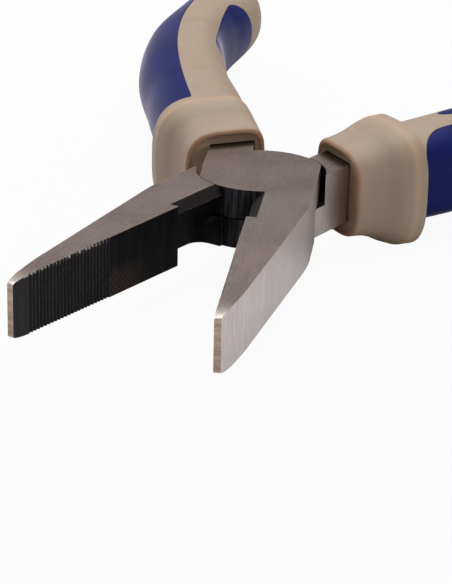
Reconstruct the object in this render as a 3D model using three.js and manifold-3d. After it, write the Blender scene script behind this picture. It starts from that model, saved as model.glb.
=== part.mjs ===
// Lineman pliers, half open: two forged steel halves lapped over each other on a set rivet,
// each handle in a two-colour moulded grip with a thumb guard.
// Millimetres, +Z up. Z is the pivot axis, the jaws point along +Y, and z = 0 is the joint's underside.
import * as THREE from "three";
import { mergeVertices } from "three/addons/utils/BufferGeometryUtils.js";
import Module from "manifold-3d";

// Joint
const jointRadius = 12;
const jointThickness = 11.4;
const headFlat = 1.2;
const headHalfWidth = jointRadius - headFlat;
const lapGap = 0.25;
const shoulderClearance = 0.2;
const openingAngle = 28.4;

// Jaws
const jawLength = 71;
const jawTaperStart = 18.5;
const jawTaperRound = 4;
const jawKneeLength = 58;
const jawKneeWidth = 4.3;
const noseWidth = 1.3;
const faceClearance = 0.1;
const teethStart = 45.4;
const teethEnd = 66.9;
const toothCount = 24;
const toothDepth = 0.36;
const jawThinningStart = 16.5;
const jawThinningAtTeeth = 0.2;
const jawThinningAtNoseRound = 0.48;
const jawThinningAtNose = 1.1;
const noseRoundLength = 4;
const noseRoundPull = 0.6;
const noseRoundDrop = 0.15;

// Cutters
const cutterEnd = 25.7;
const cutterEdgeHeight = 9.8;
const upperBevelWidth = 2.0;
const lowerBevelWidth = 5.3;
const bevelCornerRadius = 2.9;
const bevelDiscLand = 0.7;
const upperBevelOverDisc = 2;
const lowerBevelOverDisc = 4;
const edgeLand = 0.06;

// Rivet
const rivetRadius = 3;
const rivetHeadRadius = 4.4;
const rivetHeadHeight = 1.6;
const rivetHeadRim = 0.3;
const rivetChamfer = 0.4;
const rivetDepthInUpper = 3.6;
const rivetClearance = 0.08;

// Tang and the shank that the grip covers
const tangInner = 3.0;
const tangSetIn = 0.9;
const tangOuter = jointRadius - tangSetIn;
const tangCentre = (tangInner + tangOuter) / 2;
const shankBlend = 22;
const shankEndHalfWidth = 2.4;
const shankEndThickness = 7.5;
const shankThinningStart = 6;
const shankEndCover = 14;

// Grip: its spine runs back from the mouth, bowed like part of a sine wave
const mouthAside = 0.5;
const mouthSetBack = 1.9;
const gripMouthX = tangCentre + mouthAside;
const gripMouthY = -jointRadius - mouthSetBack;
const gripLength = 125;
const gripBow = 16.3;
const gripWidestAt = 0.71;
const mouthTilt = 28;
const mouthDish = 1.1;
const lipHalfHeight = 8.6;
const lipInnerWidth = 7.5;
const lipOuterWidth = 8.9;
const lipRound = 0.7;
const guardTilt = 23;
const guardPlace = 10.1;
const guardBand = 2.6;
const guardBack = 2.2;
const guardRise = 3.1;
const guardSpread = 3.7;
const guardInnerEase = 1.2;
const gripHalfHeight = 9.6;
const gripInnerWidth = 8.3;
const gripOuterWidth = 11.2;
const innerWaist = 2.7;
const gripEndRound = 9;
const shankGap = 0.35;

// How square each part of the grip's section is: 2 is an ellipse, more is squarer
const lipOuterPower = 3.2;
const lipInnerPower = 5;
const guardOuterPower = 3.15;
const bodyPower = 2.15;

// Where, back from the mouth, the section settles into the body's form and turns square to the spine
const settleStart = 2;
const settleEnd = guardPlace + 7;
const squareStart = guardPlace + 1;
const squareEnd = guardPlace + 17;

// Coloured pads let into the grip
const outerPadDepth = 2.2;
const innerPadDepth = 1.4;
const padGap = 0.25;
const outerPadStart = 15;
const outerPadEnd = 112;
const outerPadEdge = 4.2;
const innerPadStart = 58;
const innerPadEnd = 106;
const innerPadEdge = -4.2;
const padNoseLength = 8;
const badgePlace = 34;
const badgeOut = -0.8;
const badgeHalfLength = 7.4;
const badgeHalfWidth = 2.2;
const badgeDepth = 0.8;

// Overruns of cutting solids past what they cut, and the fineness of curves
const cutOverrun = 1;
const faceOverrun = 0.01;
const padOverrun = 20;
const slabWidth = 120;
const roundSteps = 72;
const rivetSteps = 48;
const ringSteps = 32;
const badgeSteps = 24;
const padStations = 10;
const degree = Math.PI / 180;
const midHeight = jointThickness / 2;

const wasm = await Module();
wasm.setup();

const steel = new THREE.MeshStandardMaterial({ color: 0x8d8782, roughness: 0.42, metalness: 0.95 });
const rivetSteel = new THREE.MeshStandardMaterial({ color: 0x9a948e, roughness: 0.38, metalness: 0.95 });
const beigePlastic = new THREE.MeshStandardMaterial({ color: 0xa99a8a, roughness: 0.62, metalness: 0 });
const bluePlastic = new THREE.MeshStandardMaterial({ color: 0x26316f, roughness: 0.55, metalness: 0 });

// A closed geometry as a manifold solid.
function solidOf(geometry) {
  const bare = geometry.clone();
  bare.deleteAttribute("normal");
  bare.deleteAttribute("uv");
  const merged = mergeVertices(bare, 1e-4);
  return new wasm.Manifold(
    new wasm.Mesh({
      numProp: 3,
      vertProperties: merged.attributes.position.array,
      triVerts: new Uint32Array(merged.index.array),
    }),
  );
}

// A manifold solid as a flat-shaded named mesh.
function meshOf(name, solid, material) {
  const mesh = solid.getMesh();
  const geometry = new THREE.BufferGeometry();
  geometry.setAttribute("position", new THREE.BufferAttribute(mesh.vertProperties, 3));
  geometry.setIndex(new THREE.BufferAttribute(mesh.triVerts, 1));
  const flat = geometry.toNonIndexed();
  flat.computeVertexNormals();
  const made = new THREE.Mesh(flat, material);
  made.name = name;
  return made;
}

// A plan outline raised from one height to another.
function prism(shape, bottom, top) {
  const geometry = new THREE.ExtrudeGeometry(shape, {
    depth: top - bottom,
    bevelEnabled: false,
    curveSegments: 12,
  });
  geometry.translate(0, 0, bottom);
  return solidOf(geometry);
}

// An upright cylinder on the pivot axis.
function pivotCylinder(radius, bottom, top) {
  const geometry = new THREE.CylinderGeometry(radius, radius, top - bottom, roundSteps);
  geometry.rotateX(Math.PI / 2);
  geometry.translate(0, 0, (bottom + top) / 2);
  return solidOf(geometry);
}

// A value that runs smoothly through rows of [place, value], with no overshoot between them.
function smoothThrough(rows) {
  const slopes = rows.map((row, i) => {
    if (i === 0 || i === rows.length - 1) return 0;
    const before = (row[1] - rows[i - 1][1]) / (row[0] - rows[i - 1][0]);
    const after = (rows[i + 1][1] - row[1]) / (rows[i + 1][0] - row[0]);
    return before * after > 0 ? (2 * before * after) / (before + after) : 0;
  });
  return (place) => {
    if (place <= rows[0][0]) return rows[0][1];
    const i = rows.findIndex((row) => row[0] >= place);
    if (i < 0) return rows[rows.length - 1][1];
    const span = rows[i][0] - rows[i - 1][0];
    const t = (place - rows[i - 1][0]) / span;
    const rise = t * t * (3 - 2 * t);
    const pullStart = slopes[i - 1] * span * t * (1 - t) * (1 - t);
    const pullEnd = slopes[i] * span * t * t * (t - 1);
    return rows[i - 1][1] * (1 - rise) + rows[i][1] * rise + pullStart + pullEnd;
  };
}

// Each steel half is drawn closed, with its jaw on the -x side and its tang on the +x side.
// The jaw in plan: a straight face with a comb of teeth, and an outer side that tapers to the nose.
function jawShape() {
  const shape = new THREE.Shape();
  const face = -faceClearance;
  const pitch = (teethEnd - teethStart) / toothCount;
  shape.moveTo(face, 0);
  shape.lineTo(face, teethStart);
  for (let i = 0; i < toothCount; i += 1) {
    const start = teethStart + i * pitch;
    shape.lineTo(face - toothDepth, start + pitch / 2);
    shape.lineTo(face, start + pitch);
  }
  shape.lineTo(face, jawLength);
  shape.lineTo(-noseWidth, jawLength);
  const taper = (headHalfWidth - jawKneeWidth) / (jawKneeLength - jawTaperStart);
  const halfway = (jawLength - jawKneeLength) / 2;
  shape.quadraticCurveTo(
    -jawKneeWidth + taper * halfway,
    jawKneeLength + halfway,
    -jawKneeWidth,
    jawKneeLength,
  );
  shape.lineTo(-headHalfWidth + taper * jawTaperRound, jawTaperStart + jawTaperRound);
  shape.quadraticCurveTo(-headHalfWidth, jawTaperStart, -headHalfWidth, jawTaperStart - jawTaperRound);
  shape.lineTo(-headHalfWidth, 0);
  return shape;
}

// The spine of the grip at a distance back from the mouth.
function spineX(back) {
  return gripMouthX + gripBow * Math.sin((Math.PI * back) / (2 * gripWidestAt * gripLength));
}

// The middle of the shank: straight out of the tang, then on the grip's spine.
function shankX(back) {
  return tangCentre + (spineX(back) - tangCentre) * THREE.MathUtils.smoothstep(back, 0, shankBlend);
}

// The tang and shank in plan, grown all round by a gap when it cuts the grip's socket.
function shankShape(grow) {
  const tangHalfWidth = (tangOuter - tangInner) / 2;
  const shankLength = gripLength - shankEndCover;
  const steps = 24;
  const outer = [];
  const inner = [];
  for (let i = 0; i <= steps; i += 1) {
    const back = (shankLength * i) / steps;
    const halfWidth = THREE.MathUtils.lerp(tangHalfWidth, shankEndHalfWidth, i / steps) + grow;
    const slope = Math.atan2(shankX(back + 0.5) - shankX(back - 0.5), 1);
    const y = gripMouthY - back;
    const across = halfWidth * Math.cos(slope);
    const along = halfWidth * Math.sin(slope);
    outer.push(new THREE.Vector2(shankX(back) + across, y + along));
    inner.push(new THREE.Vector2(shankX(back) - across, y - along));
  }
  const tipX = shankX(shankLength);
  const tipY = gripMouthY - shankLength - shankEndHalfWidth - grow;
  const shape = new THREE.Shape();
  shape.moveTo(tangOuter + grow, 0);
  outer.forEach((point) => shape.lineTo(point.x, point.y));
  shape.lineTo(tipX, tipY);
  inner.reverse().forEach((point) => shape.lineTo(point.x, point.y));
  shape.lineTo(tangInner - grow, 0);
  return shape;
}

// A slab as wide as the tool whose upright profile, seen from the side, thins towards nose and handle end.
function thicknessSlab(grow) {
  const half = midHeight + grow;
  const nose = midHeight - jawThinningAtNose;
  const noseEnd = jawLength + cutOverrun;
  const shankEnd = shankEndThickness / 2 + grow;
  const shankStart = gripMouthY - shankThinningStart;
  const backEnd = gripMouthY - gripLength;
  const teethHalf = half - jawThinningAtTeeth;
  const noseStart = jawLength - noseRoundLength;
  const noseHalf = half - jawThinningAtNoseRound;
  const pullY = jawLength - noseRoundPull;
  const profile = new THREE.Shape();
  profile.moveTo(backEnd, -shankEnd);
  profile.lineTo(shankStart, -half);
  profile.lineTo(jawThinningStart, -half);
  profile.lineTo(teethStart, -teethHalf);
  profile.lineTo(noseStart, -noseHalf);
  profile.quadraticCurveTo(pullY, -noseHalf + noseRoundDrop, jawLength, -nose);
  profile.lineTo(noseEnd, -nose);
  profile.lineTo(noseEnd, nose);
  profile.lineTo(jawLength, nose);
  profile.quadraticCurveTo(pullY, noseHalf - noseRoundDrop, noseStart, noseHalf);
  profile.lineTo(teethStart, teethHalf);
  profile.lineTo(jawThinningStart, half);
  profile.lineTo(shankStart, half);
  profile.lineTo(backEnd, shankEnd);
  const geometry = new THREE.ExtrudeGeometry(profile, {
    depth: slabWidth,
    bevelEnabled: false,
    curveSegments: 8,
  });
  geometry.translate(0, 0, -slabWidth / 2);
  // Profile x runs along the tool's y, profile y up, and the extrusion across.
  geometry.applyMatrix4(new THREE.Matrix4().set(0, 0, 1, 0, 1, 0, 0, 0, 0, 1, 0, midHeight, 0, 0, 0, 1));
  return solidOf(geometry);
}

// What a grinding wheel takes off beside the cutting edge: a plan outline that narrows to the edge's line.
function bevelCut(shape, edgeHeight, faceHeight) {
  const bottom = Math.min(edgeHeight, faceHeight);
  const height = Math.abs(faceHeight - edgeHeight);
  const geometry = new THREE.ExtrudeGeometry(shape, {
    depth: height,
    bevelEnabled: false,
    curveSegments: 8,
  });
  const position = geometry.attributes.position;
  for (let i = 0; i < position.count; i += 1) {
    const z = bottom + position.getZ(i);
    const reach = Math.abs(z - edgeHeight) / height;
    const x = position.getX(i);
    position.setX(i, x < 0 ? x * reach - edgeLand : x);
    position.setZ(i, z);
  }
  return solidOf(geometry);
}

// The bevel's outline on the face it runs out to, with a round corner beside the joint.
function bevelShape(width, start, cornerRadius) {
  const cornerX = -width + cornerRadius;
  const cornerY = start + cornerRadius;
  const shape = new THREE.Shape();
  shape.moveTo(cutOverrun, start);
  shape.lineTo(cornerX, start);
  if (cornerRadius > 0) shape.absarc(cornerX, cornerY, cornerRadius, -Math.PI / 2, -Math.PI, true);
  shape.lineTo(-width, cutterEnd);
  shape.lineTo(cutOverrun, cutterEnd);
  return shape;
}

// One forged half. The lap is the level of its own disc: the other half's disc turns in the other level.
function plierHalf(lap) {
  const ownBottom = lap === "upper" ? midHeight + lapGap / 2 : 0;
  const ownTop = lap === "upper" ? jointThickness : midHeight - lapGap / 2;
  const otherBottom = lap === "upper" ? -cutOverrun : ownTop;
  const otherTop = lap === "upper" ? ownBottom : jointThickness + cutOverrun;
  const sweep = jointRadius + shoulderClearance;

  const jaw = prism(jawShape(), 0, jointThickness);
  const tang = prism(shankShape(0), 0, jointThickness);
  const blocks = jaw.add(tang).subtract(pivotCylinder(sweep, otherBottom, otherTop));

  const band = new THREE.Shape();
  band.moveTo(-headHalfWidth, -jointRadius);
  band.lineTo(headHalfWidth, -jointRadius);
  band.lineTo(headHalfWidth, jointRadius);
  band.lineTo(-headHalfWidth, jointRadius);
  const disc = pivotCylinder(jointRadius, ownBottom, ownTop).intersect(prism(band, ownBottom, ownTop));

  const topFace = jointThickness + faceOverrun;
  const upperOutline = bevelShape(upperBevelWidth, jointRadius - upperBevelOverDisc, 0);
  const lowerOutline = bevelShape(lowerBevelWidth, jointRadius + bevelDiscLand, bevelCornerRadius);
  const besideOutline = bevelShape(lowerBevelWidth, jointRadius - lowerBevelOverDisc, 0);
  const upperBevel = bevelCut(upperOutline, cutterEdgeHeight, topFace);
  const lowerBevel = bevelCut(lowerOutline, cutterEdgeHeight, -faceOverrun);
  const beside = bevelCut(besideOutline, cutterEdgeHeight, -faceOverrun);
  const besideReach = pivotCylinder(jointRadius + lowerBevelOverDisc, otherBottom, otherTop);
  const besideLevel = beside.intersect(besideReach);

  return blocks
    .subtract(upperBevel)
    .subtract(lowerBevel)
    .subtract(besideLevel)
    .add(disc)
    .intersect(thicknessSlab(0));
}

// The rivet's turned form, grown by a clearance and run out below the face when it cuts its hole.
function rivetForm(grow, below) {
  const top = midHeight + rivetDepthInUpper + grow;
  const profile = [
    new THREE.Vector2(0, -below),
    new THREE.Vector2(rivetHeadRadius + grow, -below),
    new THREE.Vector2(rivetHeadRadius + grow, rivetHeadRim),
    new THREE.Vector2(rivetRadius + grow, rivetHeadHeight + grow),
    new THREE.Vector2(rivetRadius + grow, top - rivetChamfer),
    new THREE.Vector2(rivetRadius + grow - rivetChamfer, top),
    new THREE.Vector2(0, top),
  ];
  const geometry = new THREE.LatheGeometry(profile, rivetSteps);
  geometry.rotateX(Math.PI / 2);
  return solidOf(geometry);
}

// The grips stand in the same closed frame as the half's tang.
// The thumb guard swells in a hollow curve, keeps its full height over a band and drops off behind it.
const guardBump = smoothThrough([
  [0, 0],
  [guardPlace * 0.3, 0.1],
  [guardPlace * 0.55, 0.36],
  [guardPlace * 0.8, 0.78],
  [guardPlace * 0.96, 0.97],
  [guardPlace, 1],
  [guardPlace + guardBand, 1],
  [guardPlace + guardBand + guardBack * 0.45, 0.4],
  [guardPlace + guardBand + guardBack, 0],
]);

// How far a section has settled from the squarish mouth into the rounder body.
function settle(back) {
  return THREE.MathUtils.smoothstep(back, settleStart, settleEnd);
}

// Half sizes of the grip's section behind the lip: full in the palm, waisted ahead of the rounded end.
const bodyHeight = smoothThrough([
  [gripLength * 0.05, lipHalfHeight],
  [gripLength * 0.16, gripHalfHeight - 0.1],
  [gripLength * 0.4, gripHalfHeight + 0.2],
  [gripLength * 0.64, gripHalfHeight - 0.3],
  [gripLength * 0.86, gripHalfHeight - 0.9],
  [gripLength, gripHalfHeight - 0.3],
]);
const bodyOuter = smoothThrough([
  [gripLength * 0.016, lipOuterWidth],
  [gripLength * 0.13, gripOuterWidth - 1.0],
  [gripLength * 0.2, gripOuterWidth - 0.1],
  [gripLength * 0.32, gripOuterWidth + 0.1],
  [gripLength * 0.48, gripOuterWidth + 1.3],
  [gripLength * 0.66, gripOuterWidth + 0.9],
  [gripLength * 0.88, gripOuterWidth - 1.9],
  [gripLength, gripOuterWidth - 1.4],
]);
const bodyInner = smoothThrough([
  [gripLength * 0.016, lipInnerWidth],
  [gripLength * 0.13, gripInnerWidth - 0.1],
  [gripLength * 0.24, gripInnerWidth + 0.1],
  [gripLength * 0.38, gripInnerWidth - 1.2],
  [gripLength * 0.53, gripInnerWidth - 1.7],
  [gripLength * 0.63, gripInnerWidth - innerWaist],
  [gripLength * 0.74, gripInnerWidth - 1.4],
  [gripLength * 0.88, gripInnerWidth + 0.8],
  [gripLength, gripInnerWidth - 0.3],
]);

// How far a section of the grip is turned in plan: with the mouth, then the guard, then square to the spine.
function stationTilt(back) {
  const square = Math.atan(spineX(back + 0.5) - spineX(back - 0.5)) / degree;
  const front = THREE.MathUtils.lerp(mouthTilt, guardTilt, THREE.MathUtils.smoothstep(back, 0, guardPlace));
  const turned = THREE.MathUtils.smoothstep(back, squareStart, squareEnd);
  return THREE.MathUtils.lerp(front, square, turned) * degree;
}

// A point of the grip in plan: so far back from the mouth, and so far out from the spine.
function planPoint(back, out) {
  const tilt = stationTilt(back);
  return new THREE.Vector2(spineX(back) + out * Math.cos(tilt), gripMouthY - back + out * Math.sin(tilt));
}

// One ring of the grip's outside: a rounded section, fuller on its outer side.
function gripRing(back, grow) {
  const bump = guardBump(back);
  const shift = settle(back);
  const lip = THREE.MathUtils.clamp(1 - back / lipRound, 0, 1);
  const lipInset = lipRound * (1 - Math.sqrt(1 - lip * lip));
  const endPlace = THREE.MathUtils.clamp((back - gripLength + gripEndRound) / gripEndRound, 0, 1);
  const end = Math.sqrt(Math.max(0.02, 1 - endPlace * endPlace));
  const height = bodyHeight(back) + guardRise * bump;
  const outer = bodyOuter(back) + guardSpread * bump;
  const inner = bodyInner(back) - guardInnerEase * bump;
  const settledPower = THREE.MathUtils.lerp(lipOuterPower, bodyPower, shift);
  const outerPower = THREE.MathUtils.lerp(settledPower, guardOuterPower, bump);
  const innerPower = THREE.MathUtils.lerp(lipInnerPower, bodyPower, shift);
  const ring = [];
  for (let i = 0; i < ringSteps; i += 1) {
    const turn = (2 * Math.PI * i) / ringSteps;
    const across = Math.cos(turn);
    const up = Math.sin(turn);
    const power = 2 / (across > 0 ? outerPower : innerPower);
    const width = (across > 0 ? outer : inner) + grow - lipInset;
    const out = Math.sign(across) * width * end * Math.abs(across) ** power;
    const z = Math.sign(up) * (height + grow - lipInset) * end * Math.abs(up) ** power;
    const plan = planPoint(back, out);
    ring.push([plan.x, plan.y, midHeight + z]);
  }
  return ring;
}

// A closed skin over a row of rings, with a fan about a given centre point at each end.
function loft(rings, frontCentrePoint, backCentrePoint) {
  const count = rings[0].length;
  const positions = rings.flat(2);
  positions.push(...frontCentrePoint, ...backCentrePoint);
  const index = [];
  for (let r = 0; r + 1 < rings.length; r += 1) {
    for (let i = 0; i < count; i += 1) {
      const a = r * count + i;
      const b = r * count + ((i + 1) % count);
      index.push(a, b, a + count, b, b + count, a + count);
    }
  }
  const last = (rings.length - 1) * count;
  const frontCentre = rings.length * count;
  for (let i = 0; i < count; i += 1) {
    const next = (i + 1) % count;
    index.push(frontCentre, next, i);
    index.push(frontCentre + 1, last + i, last + next);
  }
  const geometry = new THREE.BufferGeometry();
  geometry.setAttribute("position", new THREE.Float32BufferAttribute(positions, 3));
  geometry.setIndex(index);
  return solidOf(geometry);
}

// The whole outside of a grip as one solid, grown by an offset that is negative for recess floors.
function gripBody(grow) {
  const lipPlaces = [0, 0.12, 0.45, 1].map((share) => share * lipRound);
  const risePlaces = [0.3, 0.5, 0.66, 0.8, 0.92, 1].map((share) => share * guardPlace);
  const dropPlaces = [-1, 0.12, 0.3, 0.5, 0.75, 1].map((share) =>
    guardPlace + guardBand + guardBack * share * (share < 0 ? guardBand / guardBack / 2 : 1),
  );
  const bodyStart = guardPlace + guardBand + guardBack;
  const bodyEnd = gripLength - gripEndRound;
  const bodyPlaces = [];
  const bodySteps = 13;
  for (let i = 1; i <= bodySteps; i += 1) {
    bodyPlaces.push(bodyStart + ((bodyEnd - bodyStart) * i) / bodySteps);
  }
  const endPlaces = [0.35, 0.62, 0.82, 0.94, 1].map((share) => bodyEnd + share * gripEndRound);
  const places = [...lipPlaces, ...risePlaces, ...dropPlaces, ...bodyPlaces, ...endPlaces];
  const dish = planPoint(mouthDish - grow, 0);
  const tip = planPoint(gripLength, 0);
  return loft(
    places.map((back) => gripRing(back, grow)),
    [dish.x, dish.y, midHeight],
    [tip.x, tip.y, midHeight],
  );
}

// A pad's outline in plan: an edge line along the grip with a rounded nose at each end.
function padShape(start, end, edge, side, grow) {
  const far = edge + side * padOverrun;
  const near = edge - side * grow;
  const steps = 6;
  const points = [planPoint(start - grow, far)];
  for (let i = 0; i <= steps; i += 1) {
    const turn = (Math.PI / 2) * (i / steps);
    const back = start - grow + padNoseLength * (1 - Math.cos(turn));
    points.push(planPoint(back, near + side * padNoseLength * (1 - Math.sin(turn))));
  }
  const straight = end - start - 2 * padNoseLength;
  for (let i = 1; i < padStations; i += 1) {
    points.push(planPoint(start + padNoseLength + (straight * i) / padStations, near));
  }
  for (let i = steps; i >= 0; i -= 1) {
    const turn = (Math.PI / 2) * (i / steps);
    const back = end + grow - padNoseLength * (1 - Math.cos(turn));
    points.push(planPoint(back, near + side * padNoseLength * (1 - Math.sin(turn))));
  }
  points.push(planPoint(end + grow, far));
  for (let i = padStations - 1; i >= 1; i -= 1) {
    points.push(planPoint(start + ((end - start) * i) / padStations, far));
  }
  return new THREE.Shape(points);
}

// The badge's oval in plan, grown by a gap when it cuts the recess.
function badgeShape(grow) {
  const points = [];
  for (let i = 0; i < badgeSteps; i += 1) {
    const turn = (2 * Math.PI * i) / badgeSteps;
    const back = badgePlace + (badgeHalfLength + grow) * Math.cos(turn);
    points.push(planPoint(back, badgeOut + (badgeHalfWidth + grow) * Math.sin(turn)));
  }
  return new THREE.Shape(points);
}

// The pieces of one grip: the core with its socket and recesses, two side pads and a plain oval badge.
function gripPieces(badgeOnTop) {
  const low = midHeight - padOverrun;
  const high = midHeight + padOverrun;
  const body = gripBody(0);
  const underOuterPad = gripBody(-outerPadDepth);
  const underInnerPad = gripBody(-innerPadDepth);
  const badgeLow = badgeOnTop ? midHeight : low;
  const badgeHigh = badgeOnTop ? high : midHeight;

  const outerShape = (grow) => padShape(outerPadStart, outerPadEnd, outerPadEdge, 1, grow);
  const innerShape = (grow) => padShape(innerPadStart, innerPadEnd, innerPadEdge, -1, grow);

  const outerPad = body.intersect(prism(outerShape(0), low, high)).subtract(underOuterPad);
  const innerPad = body.intersect(prism(innerShape(0), low, high)).subtract(underInnerPad);
  const badge = body.intersect(prism(badgeShape(0), badgeLow, badgeHigh)).subtract(gripBody(-badgeDepth));

  const outerFloor = gripBody(-outerPadDepth - padGap);
  const innerFloor = gripBody(-innerPadDepth - padGap);
  const badgeFloor = gripBody(-badgeDepth - padGap);
  const outerRecess = prism(outerShape(padGap), low, high).subtract(outerFloor);
  const innerRecess = prism(innerShape(padGap), low, high).subtract(innerFloor);
  const badgeRecess = prism(badgeShape(padGap), badgeLow, badgeHigh).subtract(badgeFloor);
  const socket = prism(shankShape(shankGap), -cutOverrun, jointThickness + cutOverrun)
    .intersect(thicknessSlab(shankGap));
  const core = body
    .subtract(outerRecess)
    .subtract(innerRecess)
    .subtract(badgeRecess)
    .subtract(socket);
  return { core, outerPad, innerPad, badge };
}

// One grip's pieces as named meshes.
function gripGroup(prefix, badgeOnTop) {
  const pieces = gripPieces(badgeOnTop);
  const group = new THREE.Group();
  group.add(meshOf(prefix + "_grip_core", pieces.core, beigePlastic.clone()));
  group.add(meshOf(prefix + "_grip_outer_pad", pieces.outerPad, bluePlastic.clone()));
  group.add(meshOf(prefix + "_grip_inner_pad", pieces.innerPad, bluePlastic.clone()));
  group.add(meshOf(prefix + "_grip_badge", pieces.badge, bluePlastic.clone()));
  return group;
}

const rivetHole = rivetForm(rivetClearance, cutOverrun);

const upper = new THREE.Group();
upper.add(meshOf("upper_half", plierHalf("upper").subtract(rivetHole), steel));
upper.add(gripGroup("upper", false));
upper.add(meshOf("pivot_rivet", rivetForm(0, 0), rivetSteel));
upper.rotation.z = (openingAngle / 2) * degree;

// The lower half is the upper one's mirror image, but for the lap.
const lower = new THREE.Group();
lower.add(meshOf("lower_half", plierHalf("lower").subtract(rivetHole), steel.clone()));
lower.add(gripGroup("lower", true));
lower.scale.x = -1;
lower.rotation.z = (-openingAngle / 2) * degree;

const pliers = new THREE.Group();
pliers.add(upper, lower);

export default pliers;
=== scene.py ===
import math
import bmesh
import bpy
import numpy as np
from mathutils import Matrix, Vector


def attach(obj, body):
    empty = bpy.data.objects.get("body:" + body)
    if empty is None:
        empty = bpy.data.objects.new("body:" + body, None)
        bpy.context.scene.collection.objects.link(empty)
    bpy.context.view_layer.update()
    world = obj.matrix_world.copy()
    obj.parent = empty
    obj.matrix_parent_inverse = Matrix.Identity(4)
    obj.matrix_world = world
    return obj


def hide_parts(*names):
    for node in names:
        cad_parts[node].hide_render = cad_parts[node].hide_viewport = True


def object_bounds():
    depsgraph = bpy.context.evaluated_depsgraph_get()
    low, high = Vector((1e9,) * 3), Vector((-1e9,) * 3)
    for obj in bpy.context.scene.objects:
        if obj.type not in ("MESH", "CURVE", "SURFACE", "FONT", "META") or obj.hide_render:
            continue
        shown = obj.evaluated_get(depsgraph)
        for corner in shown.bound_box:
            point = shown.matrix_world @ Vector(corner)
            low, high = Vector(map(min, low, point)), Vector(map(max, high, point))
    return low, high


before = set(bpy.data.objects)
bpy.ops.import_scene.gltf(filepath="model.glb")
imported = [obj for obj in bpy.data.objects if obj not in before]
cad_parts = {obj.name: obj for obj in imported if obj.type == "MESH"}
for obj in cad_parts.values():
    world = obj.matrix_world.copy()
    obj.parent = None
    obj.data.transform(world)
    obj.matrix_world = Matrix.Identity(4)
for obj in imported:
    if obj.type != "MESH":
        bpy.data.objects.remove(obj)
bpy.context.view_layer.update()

scene = bpy.context.scene
print("frame loaded")

mm = 0.001
midHeight = 5.7  # mm, the middle of the joint
openTurn = math.radians(14.2)  # each half is turned this far from closed

# The lower half is drawn as the upper one and then mirrored across the joint.
halves = {
    "upper": {"side": 1, "body": "upper_lever", "badgeUp": -1},
    "lower": {"side": -1, "body": "lower_lever", "badgeUp": 1},
}


# Points of the closed drawing, in mm, as the frame's metres: mirrored if need be, then turned about the
# pivot by cosine and sine.
def toFrame(points, side):
    turn = openTurn * side
    x, y, z = points[..., 0] * side, points[..., 1], points[..., 2]
    turnedX = x * math.cos(turn) - y * math.sin(turn)
    turnedY = x * math.sin(turn) + y * math.cos(turn)
    return np.stack([turnedX, turnedY, z], axis=-1) * mm


# The same backwards: the frame's metres as mm of the closed drawing.
def toDrawing(points, side):
    turn = -openTurn * side
    x, y, z = points[..., 0] / mm, points[..., 1] / mm, points[..., 2] / mm
    turnedX = x * math.cos(turn) - y * math.sin(turn)
    turnedY = x * math.sin(turn) + y * math.cos(turn)
    return np.stack([turnedX * side, turnedY, z], axis=-1)


# Links a node's output into an input, or sets a plain value on it.
def feed(tree, plug, value):
    if isinstance(value, bpy.types.NodeSocket):
        tree.links.new(value, plug)
    else:
        plug.default_value = value


def newGroup(name, inputs, outputs):
    tree = bpy.data.node_groups.new(name, "ShaderNodeTree")
    for label, kind, value in inputs:
        plug = tree.interface.new_socket(label, in_out="INPUT", socket_type="NodeSocket" + kind)
        if value is not None:
            plug.default_value = value
    for label, kind in outputs:
        tree.interface.new_socket(label, in_out="OUTPUT", socket_type="NodeSocket" + kind)
    return tree, tree.nodes.new("NodeGroupInput"), tree.nodes.new("NodeGroupOutput")


# Adds a node, sets its plain properties, and feeds its inputs by name, or by number as i0, i1.
def addNode(tree, kind, settings=None, **inputs):
    node = tree.nodes.new("ShaderNode" + kind)
    for key, value in (settings or {}).items():
        setattr(node, key, value)
    for key, value in inputs.items():
        numbered = key[0] == "i" and key[1:].isdigit()
        feed(tree, node.inputs[int(key[1:]) if numbered else key], value)
    return node


def math2(tree, operation, first, second=0.0, clamp=False):
    node = addNode(tree, "Math", {"operation": operation, "use_clamp": clamp}, i0=first, i1=second)
    return node.outputs[0]


# A smooth ramp from one output value to another while a value goes from low to high.
def spread(tree, value, low, high, outLow=0.0, outHigh=1.0):
    node = addNode(tree, "MapRange", {"interpolation_type": "SMOOTHSTEP"}, Value=value)
    for key, number in (("From Min", low), ("From Max", high), ("To Min", outLow), ("To Max", outHigh)):
        node.inputs[key].default_value = number
    return node.outputs[0]


def mixColour(tree, share, first, second):
    node = tree.nodes.new("ShaderNodeMix")
    node.data_type = "RGBA"
    for place, value in ((0, share), (6, first), (7, second)):
        feed(tree, node.inputs[place], value)
    return node.outputs[2]


# What the shared groups start from: sizes per metre, shares and the ranges that noise is cut to.
groupLook = {
    "across": 4000.0, "along": 300.0, "fineShare": 0.6, "coarseShare": 0.4, "coarseScale": 0.23,
    "wearRadius": 0.2 * mm, "wearScale": 1500.0, "edgeFrom": 0.98, "edgeTo": 0.86,
    "breakFrom": 0.42, "breakTo": 0.62,
    "speckScale": 300.0, "speckSize": 0.08, "speckRare": 0.82,
}


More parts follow.
